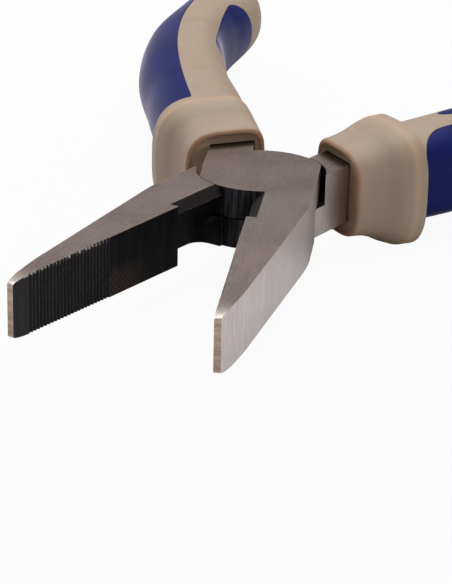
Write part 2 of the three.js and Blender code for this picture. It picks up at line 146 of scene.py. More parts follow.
# Long grain: noise on coordinates squeezed along one axis, a share of it fine and a share coarse.
def makeGrain():
    inputs = [
        ("Vector", "Vector", None),
        ("Across", "Float", groupLook["across"]),
        ("Along", "Float", groupLook["along"]),
    ]
    tree, given, made = newGroup("longGrain", inputs, [("Value", "Float")])
    across, along = given.outputs["Across"], given.outputs["Along"]
    squeeze = addNode(tree, "CombineXYZ", X=across, Y=along, Z=across)
    scaled = addNode(
        tree, "VectorMath", {"operation": "MULTIPLY"}, i0=given.outputs["Vector"], i1=squeeze.outputs[0]
    )
    fine = addNode(tree, "TexNoise", Vector=scaled.outputs[0], Scale=1.0, Detail=2.0, Roughness=0.6)
    slow = addNode(
        tree, "VectorMath", {"operation": "SCALE"}, i0=scaled.outputs[0], Scale=groupLook["coarseScale"]
    )
    coarse = addNode(tree, "TexNoise", Vector=slow.outputs[0], Scale=1.0, Detail=2.0, Roughness=0.5)
    fineShare = math2(tree, "MULTIPLY", fine.outputs[0], groupLook["fineShare"])
    coarseShare = math2(tree, "MULTIPLY", coarse.outputs[0], groupLook["coarseShare"])
    tree.links.new(math2(tree, "ADD", fineShare, coarseShare), made.inputs["Value"])
    return tree


# Edge wear: how far a rounded normal leaves the true one, broken up by noise.
def makeEdgeWear():
    inputs = [
        ("Radius", "Float", groupLook["wearRadius"]),
        ("Scale", "Float", groupLook["wearScale"]),
        ("Vector", "Vector", None),
    ]
    tree, given, made = newGroup("edgeWear", inputs, [("Mask", "Float")])
    rounded = addNode(tree, "Bevel", {"samples": 4}, Radius=given.outputs["Radius"])
    plain = addNode(tree, "NewGeometry")
    dot = addNode(
        tree, "VectorMath", {"operation": "DOT_PRODUCT"}, i0=rounded.outputs[0], i1=plain.outputs["Normal"]
    )
    edge = spread(tree, dot.outputs["Value"], groupLook["edgeFrom"], groupLook["edgeTo"])
    noise = addNode(
        tree, "TexNoise", Vector=given.outputs["Vector"], Scale=given.outputs["Scale"], Detail=3.0
    )
    patches = spread(tree, noise.outputs[0], groupLook["breakFrom"], groupLook["breakTo"])
    broken = math2(tree, "MULTIPLY", edge, patches)
    tree.links.new(broken, made.inputs["Mask"])
    return tree


# Dust and moulding specks: the middles of sparse cells, each of its own size.
def makeSpecks():
    inputs = [
        ("Vector", "Vector", None),
        ("Scale", "Float", groupLook["speckScale"]),
        ("Size", "Float", groupLook["speckSize"]),
    ]
    tree, given, made = newGroup("specks", inputs, [("Mask", "Float")])
    cells = addNode(tree, "TexVoronoi", Vector=given.outputs["Vector"], Scale=given.outputs["Scale"])
    chance = addNode(tree, "SeparateColor", Color=cells.outputs["Color"])
    few = math2(tree, "GREATER_THAN", chance.outputs[0], groupLook["speckRare"])
    size = math2(tree, "MULTIPLY", given.outputs["Size"], chance.outputs[1])
    spot = math2(tree, "LESS_THAN", cells.outputs["Distance"], size)
    tree.links.new(math2(tree, "MULTIPLY", few, spot), made.inputs["Mask"])
    return tree


grainGroup, wearGroup, speckGroup = makeGrain(), makeEdgeWear(), makeSpecks()


def useGroup(tree, group, **inputs):
    node = tree.nodes.new("ShaderNodeGroup")
    node.node_tree = group
    for key, value in inputs.items():
        feed(tree, node.inputs[key], value)
    return node.outputs[0]


def newMaterial(name):
    material = bpy.data.materials.new(name)
    material.use_nodes = True
    tree = material.node_tree
    return material, tree, tree.nodes["Principled BSDF"]


# Coordinates turned so that a pattern runs the way the wheel or the mould went: the object's own, or those
# of the half's closed drawing, which the halves carry as an attribute so that grain follows each jaw.
def patternSpace(tree, turn=(0, 0, 0), drawn=False):
    if drawn:
        place = addNode(tree, "Attribute", {"attribute_name": "drawn"}).outputs["Vector"]
    else:
        place = addNode(tree, "TexCoord").outputs["Object"]
    turned = addNode(tree, "Mapping", Vector=place)
    turned.inputs["Rotation"].default_value = [math.radians(a) for a in turn]
    return turned.outputs[0]


# A colour given as 0 to 255 per channel, in the linear values that shaders take.
def srgb(red, green, blue):
    shares = [c / 255 for c in (red, green, blue)]
    linear = [s / 12.92 if s <= 0.0404 else ((s + 0.055) / 1.055) ** 2.4 for s in shares]
    return (*linear, 1.0)


# Bare steel: light and dark tone, grain per metre across and along, and its turn in degrees.
bareFinishes = {
    "groundFace": {
        "light": srgb(158, 143, 139), "dark": srgb(120, 107, 103), "across": 4000.0, "along": 480.0,
        "turn": (0, 0, 4), "roughness": 0.42, "bump": 0.35, "metal": 1.0,
    },
    # The brushed sides' tones are set far lighter than the ground tops': painted light on the sides that face
    # the lamps.
    "brushedLitSide": {
        "light": srgb(232, 222, 221), "dark": srgb(212, 202, 201), "across": 4200.0, "along": 260.0,
        "turn": (90, 0, 0), "roughness": 0.42, "bump": 0.25, "metal": 1.0,
    },
    # The nose end's tones are set lighter than the ground tops': a painted reflection over its ground finish.
    "noseEnd": {
        "light": srgb(214, 192, 174), "dark": srgb(170, 150, 134), "across": 300.0, "along": 3600.0,
        "turn": (90, 0, 0), "roughness": 0.5, "bump": 0.6, "metal": 0.8,
    },
    "rivetFace": {
        "light": srgb(186, 178, 172), "dark": srgb(140, 132, 126), "across": 1500.0, "along": 1500.0,
        "turn": (0, 0, 0), "roughness": 0.36, "bump": 0.4, "metal": 1.0,
    },
}

# Blackened steel: its two tones and how far its edges are worn bare.
oxideFinishes = {
    "blackOxide": {"dark": srgb(13, 12, 15), "light": srgb(38, 36, 43), "worn": 0.1},
    "blackKnurl": {"dark": srgb(13, 12, 15), "light": srgb(38, 36, 43), "worn": 0.2},
    "temperedBevel": {"dark": srgb(13, 12, 15), "light": srgb(56, 36, 26), "worn": 0.3},
    "throatWall": {"dark": srgb(13, 12, 15), "light": srgb(128, 126, 136), "worn": 0.15},
    "blackTeeth": {"dark": srgb(47, 44, 48), "light": srgb(64, 61, 65), "worn": 0.1},
}

steelLook = {
    "bare": srgb(205, 198, 190),
    "mergeUnder": 0.002 * mm, "flatUnder": 0.4,
    "edgeRound": 0.11 * mm, "edgeAngle": 24, "edgeSegments": 2, "flatWeight": 90,
    "wearRadius": 0.22 * mm, "wearScale": 900.0, "wearShare": 0.7,
    "grainDepth": 0.02 * mm, "roughnessSwing": 0.07, "blotchScale": 90.0,
    # the range of the noise that is used, and what the tone gains over it
    "grainTone": (0.34, 0.66, 0.0, 0.8), "blotchTone": (0.3, 0.7, -0.15, 0.25),
    "paintedTangShadePatches": (0.3, 0.7, 0.7, 1.0),
    # painted shade on the tang beside the grip's mouth, whose plane leans by this slope, and a painted
    # highlight on the nose top
    "paintedTangShade": srgb(80, 70, 56), "mouthSlope": 0.53, "paintedTangShadeFrom": 14.5 * mm, "paintedTangShadeTo": 18.2 * mm,
    "paintedNoseHighlightFrom": 64 * mm, "paintedNoseHighlightTo": 70 * mm, "paintedNoseHighlightShare": 0.35,
}
oxideLook = {
    "streakAcross": 2600.0, "streakAlong": 110.0, "broadAcross": 900.0, "broadAlong": 40.0,
    "streakTone": (0.4, 0.75, 0.0, 1.0), "streakShare": 0.5, "broadTone": (0.5, 0.8, 0.0, 0.3),
    "wearRadius": 0.2 * mm, "wearScale": 1300.0, "specular": 0.12, "bump": 0.35, "depth": 0.05 * mm,
    "roughest": 0.6, "smoothest": 0.45,
    # the crossed knurl low on the flat: lines leaning both ways, strongest beside the teeth
    "knurlLean": 38, "knurlScale": 385.0, "knurlGround": srgb(62, 48, 42), "knurlPit": srgb(7, 6, 7),
    "knurlTop": 6.0 * mm, "knurlFull": 3.0 * mm, "knurlFrom": 33 * mm, "knurlTo": 42 * mm,
    "knurlShare": 0.85, "pitFrom": 0.3, "pitTo": 0.55,
    # the teeth: painted shade in their roots, and bare nicks where the crests meet the top
    "toothRootShade": srgb(24, 22, 24), "rootShadeFrom": -0.14 * mm, "rootShadeTo": -0.42 * mm,
    "crestFrom": -0.4 * mm, "crestTo": -0.2 * mm, "nickFrom": 10.55 * mm, "nickTo": 10.8 * mm,
    "rimFrom": 10.2 * mm, "rimTo": 10.7 * mm, "rimWorn": 0.95, "nickScale": 900.0,
    "nickBreakFrom": 0.46, "nickBreakTo": 0.6,
}


# Bare steel: colour and roughness follow a long grain, with a shallow bump and brighter worn edges.
def bareSteel(name, drawn=True):
    finish = bareFinishes[name]
    material, tree, shader = newMaterial(name)
    space = patternSpace(tree, finish["turn"], drawn)
    grain = useGroup(tree, grainGroup, Vector=space, Across=finish["across"], Along=finish["along"])
    blotch = addNode(tree, "TexNoise", Vector=space, Scale=steelLook["blotchScale"], Detail=3.0).outputs[0]
    grainTone = spread(tree, grain, *steelLook["grainTone"])
    blotchTone = spread(tree, blotch, *steelLook["blotchTone"])
    tone = math2(tree, "ADD", grainTone, blotchTone, clamp=True)
    colour = mixColour(tree, tone, finish["dark"], finish["light"])
    wear = useGroup(
        tree, wearGroup, Radius=steelLook["wearRadius"], Scale=steelLook["wearScale"], Vector=space
    )
    bared = math2(tree, "MULTIPLY", wear, steelLook["wearShare"])
    colour = mixColour(tree, bared, colour, steelLook["bare"])
    if name == "groundFace":
        # Painted shade on the tang beside the grip's mouth, in uneven patches.
        place = addNode(tree, "SeparateXYZ", Vector=patternSpace(tree, drawn=True))
        lean = math2(tree, "MULTIPLY", place.outputs["X"], steelLook["mouthSlope"])
        back = math2(tree, "SUBTRACT", lean, place.outputs["Y"])
        uneven = spread(tree, blotch, *steelLook["paintedTangShadePatches"])
        nearMouth = spread(tree, back, steelLook["paintedTangShadeFrom"], steelLook["paintedTangShadeTo"])
        colour = mixColour(tree, math2(tree, "MULTIPLY", nearMouth, uneven), colour, steelLook["paintedTangShade"])
        # Painted highlight on the nose top: the ground face lightened towards the tip.
        paintedNoseHighlight = spread(
            tree, place.outputs["Y"], steelLook["paintedNoseHighlightFrom"], steelLook["paintedNoseHighlightTo"],
            0.0, steelLook["paintedNoseHighlightShare"],
        )
        colour = mixColour(tree, paintedNoseHighlight, colour, steelLook["bare"])
    tree.links.new(colour, shader.inputs["Base Color"])
    swing = steelLook["roughnessSwing"]
    rough = spread(tree, grain, 0.3, 0.7, finish["roughness"] + swing, finish["roughness"] - swing)
    tree.links.new(rough, shader.inputs["Roughness"])
    shader.inputs["Metallic"].default_value = finish["metal"]
    bumped = addNode(
        tree, "Bump", Height=grain, Strength=finish["bump"], Distance=steelLook["grainDepth"]
    )
    tree.links.new(bumped.outputs[0], shader.inputs["Normal"])
    return material


# Black oxide over broached steel: upright streaks, broad and fine, with edges worn to bare metal. The flat
# has its crossed knurl: dark pits where the crests of two leaning waves meet. The teeth have painted shade
# in their roots, and bare nicks.
def oxideSteel(name):
    finish, knurled, toothed = oxideFinishes[name], name == "blackKnurl", name == "blackTeeth"
    material, tree, shader = newMaterial(name)
    space = patternSpace(tree, drawn=True)
    upright = patternSpace(tree, (90, 0, 0), drawn=True)
    place = addNode(tree, "SeparateXYZ", Vector=space)
    grain = useGroup(
        tree, grainGroup, Vector=upright, Across=oxideLook["streakAcross"], Along=oxideLook["streakAlong"]
    )
    broad = useGroup(
        tree, grainGroup, Vector=upright, Across=oxideLook["broadAcross"], Along=oxideLook["broadAlong"]
    )
    fineTone = spread(tree, grain, *oxideLook["streakTone"])
    streak = math2(tree, "MULTIPLY", fineTone, oxideLook["streakShare"])
    streak = math2(tree, "ADD", streak, spread(tree, broad, *oxideLook["broadTone"]), clamp=True)
    height = grain
    colour = mixColour(tree, streak, finish["dark"], finish["light"])
    if knurled:
        waves = []
        for lean in (oxideLook["knurlLean"], -oxideLook["knurlLean"]):
            leaning = patternSpace(tree, (lean, 0, 0), drawn=True)
            wave = addNode(
                tree, "TexWave", {"bands_direction": "Y"}, Vector=leaning, Scale=oxideLook["knurlScale"]
            )
            waves.append(wave.outputs["Fac"])
        low = spread(tree, place.outputs["Z"], oxideLook["knurlTop"], oxideLook["knurlFull"])
        beside = spread(tree, place.outputs["Y"], oxideLook["knurlFrom"], oxideLook["knurlTo"])
        patch = math2(tree, "MULTIPLY", low, beside)
        crossed = math2(tree, "MULTIPLY", waves[0], waves[1])
        pits = math2(tree, "MULTIPLY", spread(tree, crossed, oxideLook["pitFrom"], oxideLook["pitTo"]), patch)
        height = math2(tree, "SUBTRACT", height, pits)
        ground = math2(tree, "MULTIPLY", patch, oxideLook["knurlShare"])
        colour = mixColour(tree, ground, colour, oxideLook["knurlGround"])
        colour = mixColour(tree, pits, colour, oxideLook["knurlPit"])
    wear = useGroup(
        tree, wearGroup, Radius=oxideLook["wearRadius"], Scale=oxideLook["wearScale"], Vector=space
    )
    if toothed:
        # Painted shade in the teeth's roots, darker further in.
        rootShade = spread(tree, place.outputs["X"], oxideLook["rootShadeFrom"], oxideLook["rootShadeTo"])
        colour = mixColour(tree, rootShade, colour, oxideLook["toothRootShade"])
        worn = spread(
            tree, place.outputs["Z"], oxideLook["rimFrom"], oxideLook["rimTo"],
            finish["worn"], oxideLook["rimWorn"],
        )
        crest = spread(tree, place.outputs["X"], oxideLook["crestFrom"], oxideLook["crestTo"])
        rim = spread(tree, place.outputs["Z"], oxideLook["nickFrom"], oxideLook["nickTo"])
        broken = addNode(tree, "TexNoise", Vector=space, Scale=oxideLook["nickScale"], Detail=2.0)
        corner = math2(tree, "MULTIPLY", crest, rim)
        nicked = spread(tree, broken.outputs[0], oxideLook["nickBreakFrom"], oxideLook["nickBreakTo"])
        nick = math2(tree, "MULTIPLY", corner, nicked)
        bared = math2(tree, "MAXIMUM", math2(tree, "MULTIPLY", wear, worn), nick)
    else:
        bared = math2(tree, "MULTIPLY", wear, finish["worn"])
    tree.links.new(mixColour(tree, bared, colour, steelLook["bare"]), shader.inputs["Base Color"])
    rough = spread(tree, grain, 0.3, 0.7, oxideLook["roughest"], oxideLook["smoothest"])
    tree.links.new(rough, shader.inputs["Roughness"])
    tree.links.new(bared, shader.inputs["Metallic"])
    shader.inputs["Specular IOR Level"].default_value = oxideLook["specular"]
    bumped = addNode(tree, "Bump", Height=height, Strength=oxideLook["bump"], Distance=oxideLook["depth"])
    tree.links.new(bumped.outputs[0], shader.inputs["Normal"])
    return material


skinNames = [
    "groundFace", "brushedLitSide", "noseEnd",
    "blackOxide", "blackKnurl", "temperedBevel", "throatWall", "blackTeeth",
]
steelSkins = [bareSteel(name) if name in bareFinishes else oxideSteel(name) for name in skinNames]

# Where a half's skins change, in mm of the closed drawing, and how level a face is, from 0 to 1.
jaw = {
    "discRadius": 12.0, "shoulderRadius": 12.2, "cutterEnd": 25.7, "throatEnd": 25.75, "flatStart": 25.8,
    "gripStart": 20.0, "gripDepth": 1.5, "teethStart": 45.3, "teethEnd": 67.2, "toothDepth": 0.9,
    "noseRounding": 60.0, "noseEnd": 70.5, "throatReach": 27.0, "throatWidth": 7.5, "bevelFloor": 9.0,
    "shoulderEnd": 4.0, "crestReach": 0.2, "wallSlack": 0.1, "discSlack": 0.5, "lapSlack": 0.3,
    "level": 0.92, "nearLevel": 0.9, "half": 0.5, "noseFacing": 0.85, "gripFacing": 0.3, "backFacing": 0.8,
}


# Which skin each face of a half takes, from its middle and its normal in the closed drawing: level faces are
# ground, the faces that meet and the lap are oxidised, the nose end is ground across with a painted
# reflection, and the rest is brushed with painted light.
def skinOf(middle, normal):
    x, y, z = middle.T
    across, along, up = normal.T
    fromPivot, levelness = np.hypot(x, y), np.abs(up)
    skin = np.full(len(x), skinNames.index("brushedLitSide"))

    def coat(faces, name):
        skin[faces] = skinNames.index(name)

    rounded = (levelness > jaw["half"]) & (y > jaw["noseRounding"])
    coat((levelness > jaw["level"]) | rounded, "groundFace")
    coat((along > jaw["noseFacing"]) & (y > jaw["noseEnd"]), "noseEnd")
    wall = (levelness < jaw["nearLevel"]) & (y > 0)
    gripping = (across > jaw["gripFacing"]) & (x > -jaw["gripDepth"]) & (y > jaw["gripStart"])
    inTeeth = (x > -jaw["toothDepth"]) & (x < jaw["crestReach"])
    teeth = inTeeth & (y > jaw["flatStart"]) & (y < jaw["teethEnd"])
    meeting = wall & (gripping | teeth)
    coat(meeting, "blackOxide")
    coat(meeting & (y > jaw["flatStart"]) & (y < jaw["teethStart"]), "blackKnurl")
    coat(meeting & (y > jaw["teethStart"]), "blackTeeth")
    inThroat = (np.abs(x) < jaw["throatWidth"]) & (y < jaw["throatEnd"]) & (fromPivot < jaw["throatReach"])
    throat = wall & inThroat
    coat(throat, "blackOxide")
    coat(throat & (np.abs(fromPivot - jaw["discRadius"]) < jaw["discSlack"]), "throatWall")
    throatBack = (along < -jaw["backFacing"]) & (np.abs(y - jaw["cutterEnd"]) < jaw["wallSlack"])
    coat(wall & throatBack, "blackOxide")
    coat(throat & (up > jaw["half"]) & (z > jaw["bevelFloor"]), "temperedBevel")
    onShoulder = np.abs(fromPivot - jaw["shoulderRadius"]) < jaw["wallSlack"]
    shoulder = onShoulder & (y < jaw["shoulderEnd"])
    coat(shoulder & (levelness < jaw["half"]), "blackOxide")
    onLap = np.abs(z - midHeight) < jaw["lapSlack"]
    coat(onLap & (levelness > jaw["nearLevel"]), "blackOxide")
    return skin


# A steel half: the CAD solid's faces merged into clean flats, given their skins, each edge eased a little.
def makeHalf(which, name):
    half = halves[which]
    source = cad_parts[name]
    mesh = bpy.data.meshes.new(name + "Steel")
    work = bmesh.new()
    work.from_mesh(source.data)
    bmesh.ops.remove_doubles(work, verts=work.verts, dist=steelLook["mergeUnder"])
    flatUnder = math.radians(steelLook["flatUnder"])
    bmesh.ops.dissolve_limit(work, angle_limit=flatUnder, verts=work.verts, edges=work.edges)
    work.to_mesh(mesh)
    work.free()
    mesh.materials.clear()
    for skin in steelSkins:
        mesh.materials.append(skin)
    count = len(mesh.polygons)
    middle, normal = np.zeros(count * 3), np.zeros(count * 3)
    mesh.polygons.foreach_get("center", middle)
    mesh.polygons.foreach_get("normal", normal)
    middle = toDrawing(middle.reshape(-1, 3), half["side"])
    normal = toDrawing(normal.reshape(-1, 3), half["side"]) * mm
    mesh.polygons.foreach_set("material_index", skinOf(middle, normal).astype(np.int32))
    mesh.polygons.foreach_set("use_smooth", np.ones(count, bool))
    points = np.zeros(len(mesh.vertices) * 3)
    mesh.vertices.foreach_get("co", points)
    drawn = toDrawing(points.reshape(-1, 3), half["side"]) * mm
    held = mesh.attributes.new("drawn", "FLOAT_VECTOR", "POINT")
    held.data.foreach_set("vector", drawn.astype(np.float32).ravel())
    piece = bpy.data.objects.new(name + "_steel", mesh)
    scene.collection.objects.link(piece)
    ease = piece.modifiers.new("ease", "BEVEL")
    ease.width, ease.segments = steelLook["edgeRound"], steelLook["edgeSegments"]
    ease.limit_method, ease.angle_limit = "ANGLE", math.radians(steelLook["edgeAngle"])
    even = piece.modifiers.new("evenNormals", "WEIGHTED_NORMAL")
    even.mode, even.weight, even.keep_sharp = "FACE_AREA", steelLook["flatWeight"], False
    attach(piece, half["body"])
    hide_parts(name)


for which in halves:
    makeHalf(which, which + "_half")
print("steel halves made")

# The rivet keeps its CAD solid and gets a turned steel face.
rivetSkin = bareSteel("rivetFace", drawn=False)
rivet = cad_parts["pivot_rivet"]
for index in range(len(rivet.material_slots)):
    rivet.material_slots[index].material = rivetSkin
print("rivet finished")

# Sizes of a grip in mm of the closed drawing, as the CAD solids have them. A power says how square a part
# of the section is: 2 is an ellipse, more is squarer.
grip = {
    "mouthX": 7.55, "mouthY": -13.9, "length": 125.0, "bow": 16.3, "widestAt": 0.71,
    "mouthTilt": 28.0, "mouthDish": 1.1, "lipRound": 0.7,
    "guardTilt": 23.0, "guardPlace": 10.1, "guardBand": 2.6, "guardBack": 2.2,
    "guardRise": 3.1, "guardSpread": 3.7, "guardInnerEase": 1.2,
    "halfHeight": 9.6, "inner": 8.3, "outer": 11.2, "endRound": 9.0,
    "lipOuterPower": 3.2, "lipInnerPower": 5.0, "guardOuterPower": 3.15, "bodyPower": 2.15,
    "settleFrom": 2.0, "settleOver": 7.0, "squareFrom": 1.0, "squareOver": 17.0,
    "around": 160, "lipRings": 10, "guardStep": 0.4, "palmRings": 96, "endRings": 16,
}
pads = {
    "outer": {"start": 15.0, "end": 112.0, "edge": 4.2, "side": 1, "depth": 2.2},
    "inner": {"start": 58.0, "end": 106.0, "edge": -4.2, "side": -1, "depth": 1.4},
    "nose": 8.0, "gap": 0.04, "rim": 0.22, "sectionRadius": 9.0, "rings": 140, "over": 60, "under": 24,
    "cutAbove": 1.5, "searched": 4000, "leastSpan": 0.02,
}
badge = {
    "place": 34.0, "out": -0.8, "halfLength": 7.4, "halfWidth": 2.2, "depth": 0.8, "rim": 0.3,
    "gap": 0.05, "cutAbove": 1.0, "around": 72,
}
socket = {
    "inner": 3.0, "outer": 11.1, "blend": 22.0, "endHalfWidth": 2.4, "endHalfHeight": 3.75,
    "thinFrom": 6.0, "endCover": 14.0, "gap": 0.15, "frontOverrun": 8.0, "rings": 30,
}


def smoothStep(value, low, high):
    t = np.clip((value - low) / (high - low), 0, 1)
    return t * t * (3 - 2 * t)


# A curve through rows of (place, value) that never overshoots: cubic pieces whose slope at each row is
# the harmonic mean of the slopes on its two sides, or none where those disagree.
def smoothThrough(rows, place):
    at, value = np.array(rows, float).T
    steps = np.diff(value) / np.diff(at)
    slope = np.zeros(len(at))
    agree = steps[:-1] * steps[1:] > 0
    total = np.where(agree, steps[:-1] + steps[1:], 1)
    slope[1:-1] = np.where(agree, 2 * steps[:-1] * steps[1:] / total, 0)
    place = np.clip(place, at[0], at[-1])
    i = np.clip(np.searchsorted(at, place, side="left") - 1, 0, len(at) - 2)
    span = at[i + 1] - at[i]
    t = (place - at[i]) / span
    rise = t * t * (3 - 2 * t)
    pull = slope[i] * span * t * (1 - t) ** 2 + slope[i + 1] * span * t * t * (t - 1)
    return value[i] * (1 - rise) + value[i + 1] * rise + pull


# The thumb guard swells in a hollow curve that meets its band in a crease, and drops off behind it.
guardEdge = grip["guardPlace"] + grip["guardBand"]
swellRows = [
    (grip["guardPlace"] * share, value)
    for share, value in ((0, 0), (0.3, 0.1), (0.55, 0.36), (0.8, 0.78), (0.96, 0.96), (1.1, 1.13))
]
dropRows = [(guardEdge + grip["guardBack"] * share, value) for share, value in ((0, 1), (0.45, 0.4), (1, 0))]


def guardBump(back):
    return np.minimum(np.minimum(smoothThrough(swellRows, back), 1), smoothThrough(dropRows, back))


# Half sizes of the section behind the lip, as shares of the length and differences from the base size.
def alongGrip(rows, base):
    return [(grip["length"] * share, base + more) for share, more in rows]


heightRows = alongGrip(
    [(0.05, -1.0), (0.16, -0.1), (0.4, 0.2), (0.64, -0.3), (0.86, -0.9), (1, -0.3)],
    grip["halfHeight"],
)
outerRows = alongGrip(
    [(0.016, -2.3), (0.13, -1.0), (0.2, -0.1), (0.32, 0.1), (0.48, 1.3), (0.66, 0.9), (0.88, -1.9), (1, -1.4)],
    grip["outer"],
)
innerRows = alongGrip(
    [(0.016, -0.8), (0.13, -0.1), (0.24, 0.1), (0.38, -1.2), (0.53, -1.7), (0.63, -2.7),
     (0.74, -1.4), (0.88, 0.8), (1, -0.3)],
    grip["inner"],
)


# The spine bows outward like part of a sine wave.
def spineX(back):
    return grip["mouthX"] + grip["bow"] * np.sin(np.pi * back / (2 * grip["widestAt"] * grip["length"]))


# A section leans with the mouth, then with the guard, and is square to the spine from there on.
def stationTilt(back):
    square = np.degrees(np.arctan(spineX(back + 0.5) - spineX(back - 0.5)))
    toGuard = smoothStep(back, 0, grip["guardPlace"])
    front = grip["mouthTilt"] + (grip["guardTilt"] - grip["mouthTilt"]) * toGuard
    squareStart = grip["guardPlace"] + grip["squareFrom"]
    squareEnd = grip["guardPlace"] + grip["squareOver"]
    return np.radians(front + (square - front) * smoothStep(back, squareStart, squareEnd))


def planPoint(back, out):
    tilt = stationTilt(back)
    return spineX(back) + out * np.cos(tilt), grip["mouthY"] - back + out * np.sin(tilt)


# The section's half sizes and powers at a place along the grip, with the lip's and the end's roundings.
def section(back, grow):
    bump = guardBump(back)
    shift = smoothStep(back, grip["settleFrom"], grip["guardPlace"] + grip["settleOver"])
    lip = np.clip(1 - back / grip["lipRound"], 0, 1)
    inset = grip["lipRound"] * (1 - np.sqrt(1 - lip * lip))
    endPlace = np.clip((back - grip["length"] + grip["endRound"]) / grip["endRound"], 0, 1)
    end = np.sqrt(np.maximum(0.0004, 1 - endPlace * endPlace))
    height = (smoothThrough(heightRows, back) + grip["guardRise"] * bump + grow - inset) * end
    outer = (smoothThrough(outerRows, back) + grip["guardSpread"] * bump + grow - inset) * end
    inner = (smoothThrough(innerRows, back) - grip["guardInnerEase"] * bump + grow - inset) * end
    outerPower = grip["lipOuterPower"] + (grip["bodyPower"] - grip["lipOuterPower"]) * shift
    outerPower = outerPower + (grip["guardOuterPower"] - outerPower) * bump
    innerPower = grip["lipInnerPower"] + (grip["bodyPower"] - grip["lipInnerPower"]) * shift
    return height, outer, inner, outerPower, innerPower


# A point of the skin by angle round the section: cosine and sine raised to two over the section's power, so
# that the section is a rounded box, fuller on its outer side.
def skinPoint(back, turn, grow):
    height, outer, inner, outerPower, innerPower = section(back, grow)
    across, up = np.cos(turn), np.sin(turn)
    power = 2 / np.where(across > 0, outerPower, innerPower)
    out = np.sign(across) * np.where(across > 0, outer, inner) * np.abs(across) ** power
    z = np.sign(up) * height * np.abs(up) ** power
    x, y = planPoint(back, out)
    return np.stack([x, y, midHeight + z], axis=-1)


# A point of the skin over a plan place: the height left once the outward share is taken from the section.
def skinOver(back, out, grow, up):
    height, outer, inner, outerPower, innerPower = section(back, grow)
    wide = np.where(out > 0, outer, inner)
    power = np.where(out > 0, outerPower, innerPower)
    z = height * np.maximum(0, 1 - (np.abs(out) / wide) ** power) ** (1 / power)
    x, y = planPoint(back, out)
    return np.stack([x, y, midHeight + up * z], axis=-1)


# A closed skin over rows of points: quads between the rows, and a fan about a middle point at each end.
def closedLoft(name, rows, side, first=None):
    count, around = rows.shape[:2]
    ends = [rows[0].mean(axis=0) if first is None else first, rows[-1].mean(axis=0)]
    points = toFrame(np.concatenate([rows.reshape(-1, 3), ends]), side)
    r, i = np.meshgrid(np.arange(count - 1), np.arange(around), indexing="ij")
    a, b = r * around + i, r * around + (i + 1) % around
    quads = np.stack([a, b, b + around, a + around], axis=-1).reshape(-1, 4)
    i = np.arange(around)
    front = np.stack([np.full(around, count * around), (i + 1) % around, i], axis=-1)
    lastRow = (count - 1) * around
    rearMiddle = np.full(around, count * around + 1)
    rear = np.stack([rearMiddle, lastRow + i, lastRow + (i + 1) % around], axis=-1)
    mesh = bpy.data.meshes.new(name)
    mesh.from_pydata(points, [], [*quads.tolist(), *front.tolist(), *rear.tolist()])
    work = bmesh.new()
    work.from_mesh(mesh)
    bmesh.ops.remove_doubles(work, verts=work.verts, dist=0.001 * mm)
    bmesh.ops.recalc_face_normals(work, faces=work.faces)
    work.to_mesh(mesh)
    work.free()
    return mesh


# The whole grip as one skin: the mouth's floor, the lip, the guard, the palm and the rounded end. The floor's
# rings go a share of the way from its middle to the lip, and sink fast behind the lip, then flat.
def gripSkin(side):
    floorShares = np.array([0.75, 0.5, 0.36, 0.24, 0.17, 0.11, 0.06, 0.03])[:, None, None]
    floorFlat, floorCurve = 0.17, 0.6
    guardEnd = guardEdge + grip["guardBack"]
    quarter = np.pi / 2
    lip = grip["lipRound"] * (1 - np.cos(np.linspace(0, quarter, grip["lipRings"])))
    guard = np.arange(grip["lipRound"] + grip["guardStep"], guardEnd + 0.2, grip["guardStep"])
    palm = np.linspace(guardEnd + 0.6, grip["length"] - grip["endRound"], grip["palmRings"])
    endTurns = np.linspace(0, quarter, grip["endRings"])[1:]
    end = grip["length"] - grip["endRound"] * (1 - np.sin(endTurns))
    backs = np.concatenate([lip, guard, palm, end])
    turns = np.linspace(0, 2 * np.pi, grip["around"], endpoint=False)
    rows = skinPoint(backs[:, None], turns[None, :], 0.0)
    x, y = planPoint(grip["mouthDish"], 0.0)
    floor = np.array([x, y, midHeight])
    inward = rows[0][None] + (floor - rows[0])[None] * floorShares
    tilt = math.radians(grip["mouthTilt"])
    sink = grip["mouthDish"] * (np.clip(floorShares / floorFlat, 0, 1) ** floorCurve - floorShares)
    inward = inward - sink * np.array([-math.sin(tilt), math.cos(tilt), 0.0])
    return closedLoft("gripSkin", np.concatenate([inward, rows]), side, first=floor)


# Where a pad's edge lies across the section: a straight run with a quarter round at each end.
def padEdge(pad, back, gap):
    start, end = pad["start"] - gap, pad["end"] + gap
    near = (pad["edge"] - pad["side"] * gap) * pad["side"]
    toEnd = np.clip(np.minimum(back - start, end - back), 0, pads["nose"])
    return near + pads["nose"] * (1 - np.sqrt(np.maximum(0, 1 - (1 - toEnd / pads["nose"]) ** 2)))


# The half angle that a pad spans about its side of the section, nothing where its edge lies past the skin.
def padSpan(pad, back, gap):
    _, outer, inner, outerPower, innerPower = section(back, 0.0)
    wide, power = (outer, outerPower) if pad["side"] > 0 else (inner, innerPower)
    share = np.clip(padEdge(pad, back, gap) / wide, 0, 1)
    return np.arccos(share ** (power / 2))


# How far a rolled rim drops at a distance inside an edge: a quarter round.
def rimDrop(distance, rim):
    inside = np.clip(distance / max(rim, 1e-6), 0, 1)
    return rim * (1 - np.sqrt(1 - (1 - inside) ** 2))


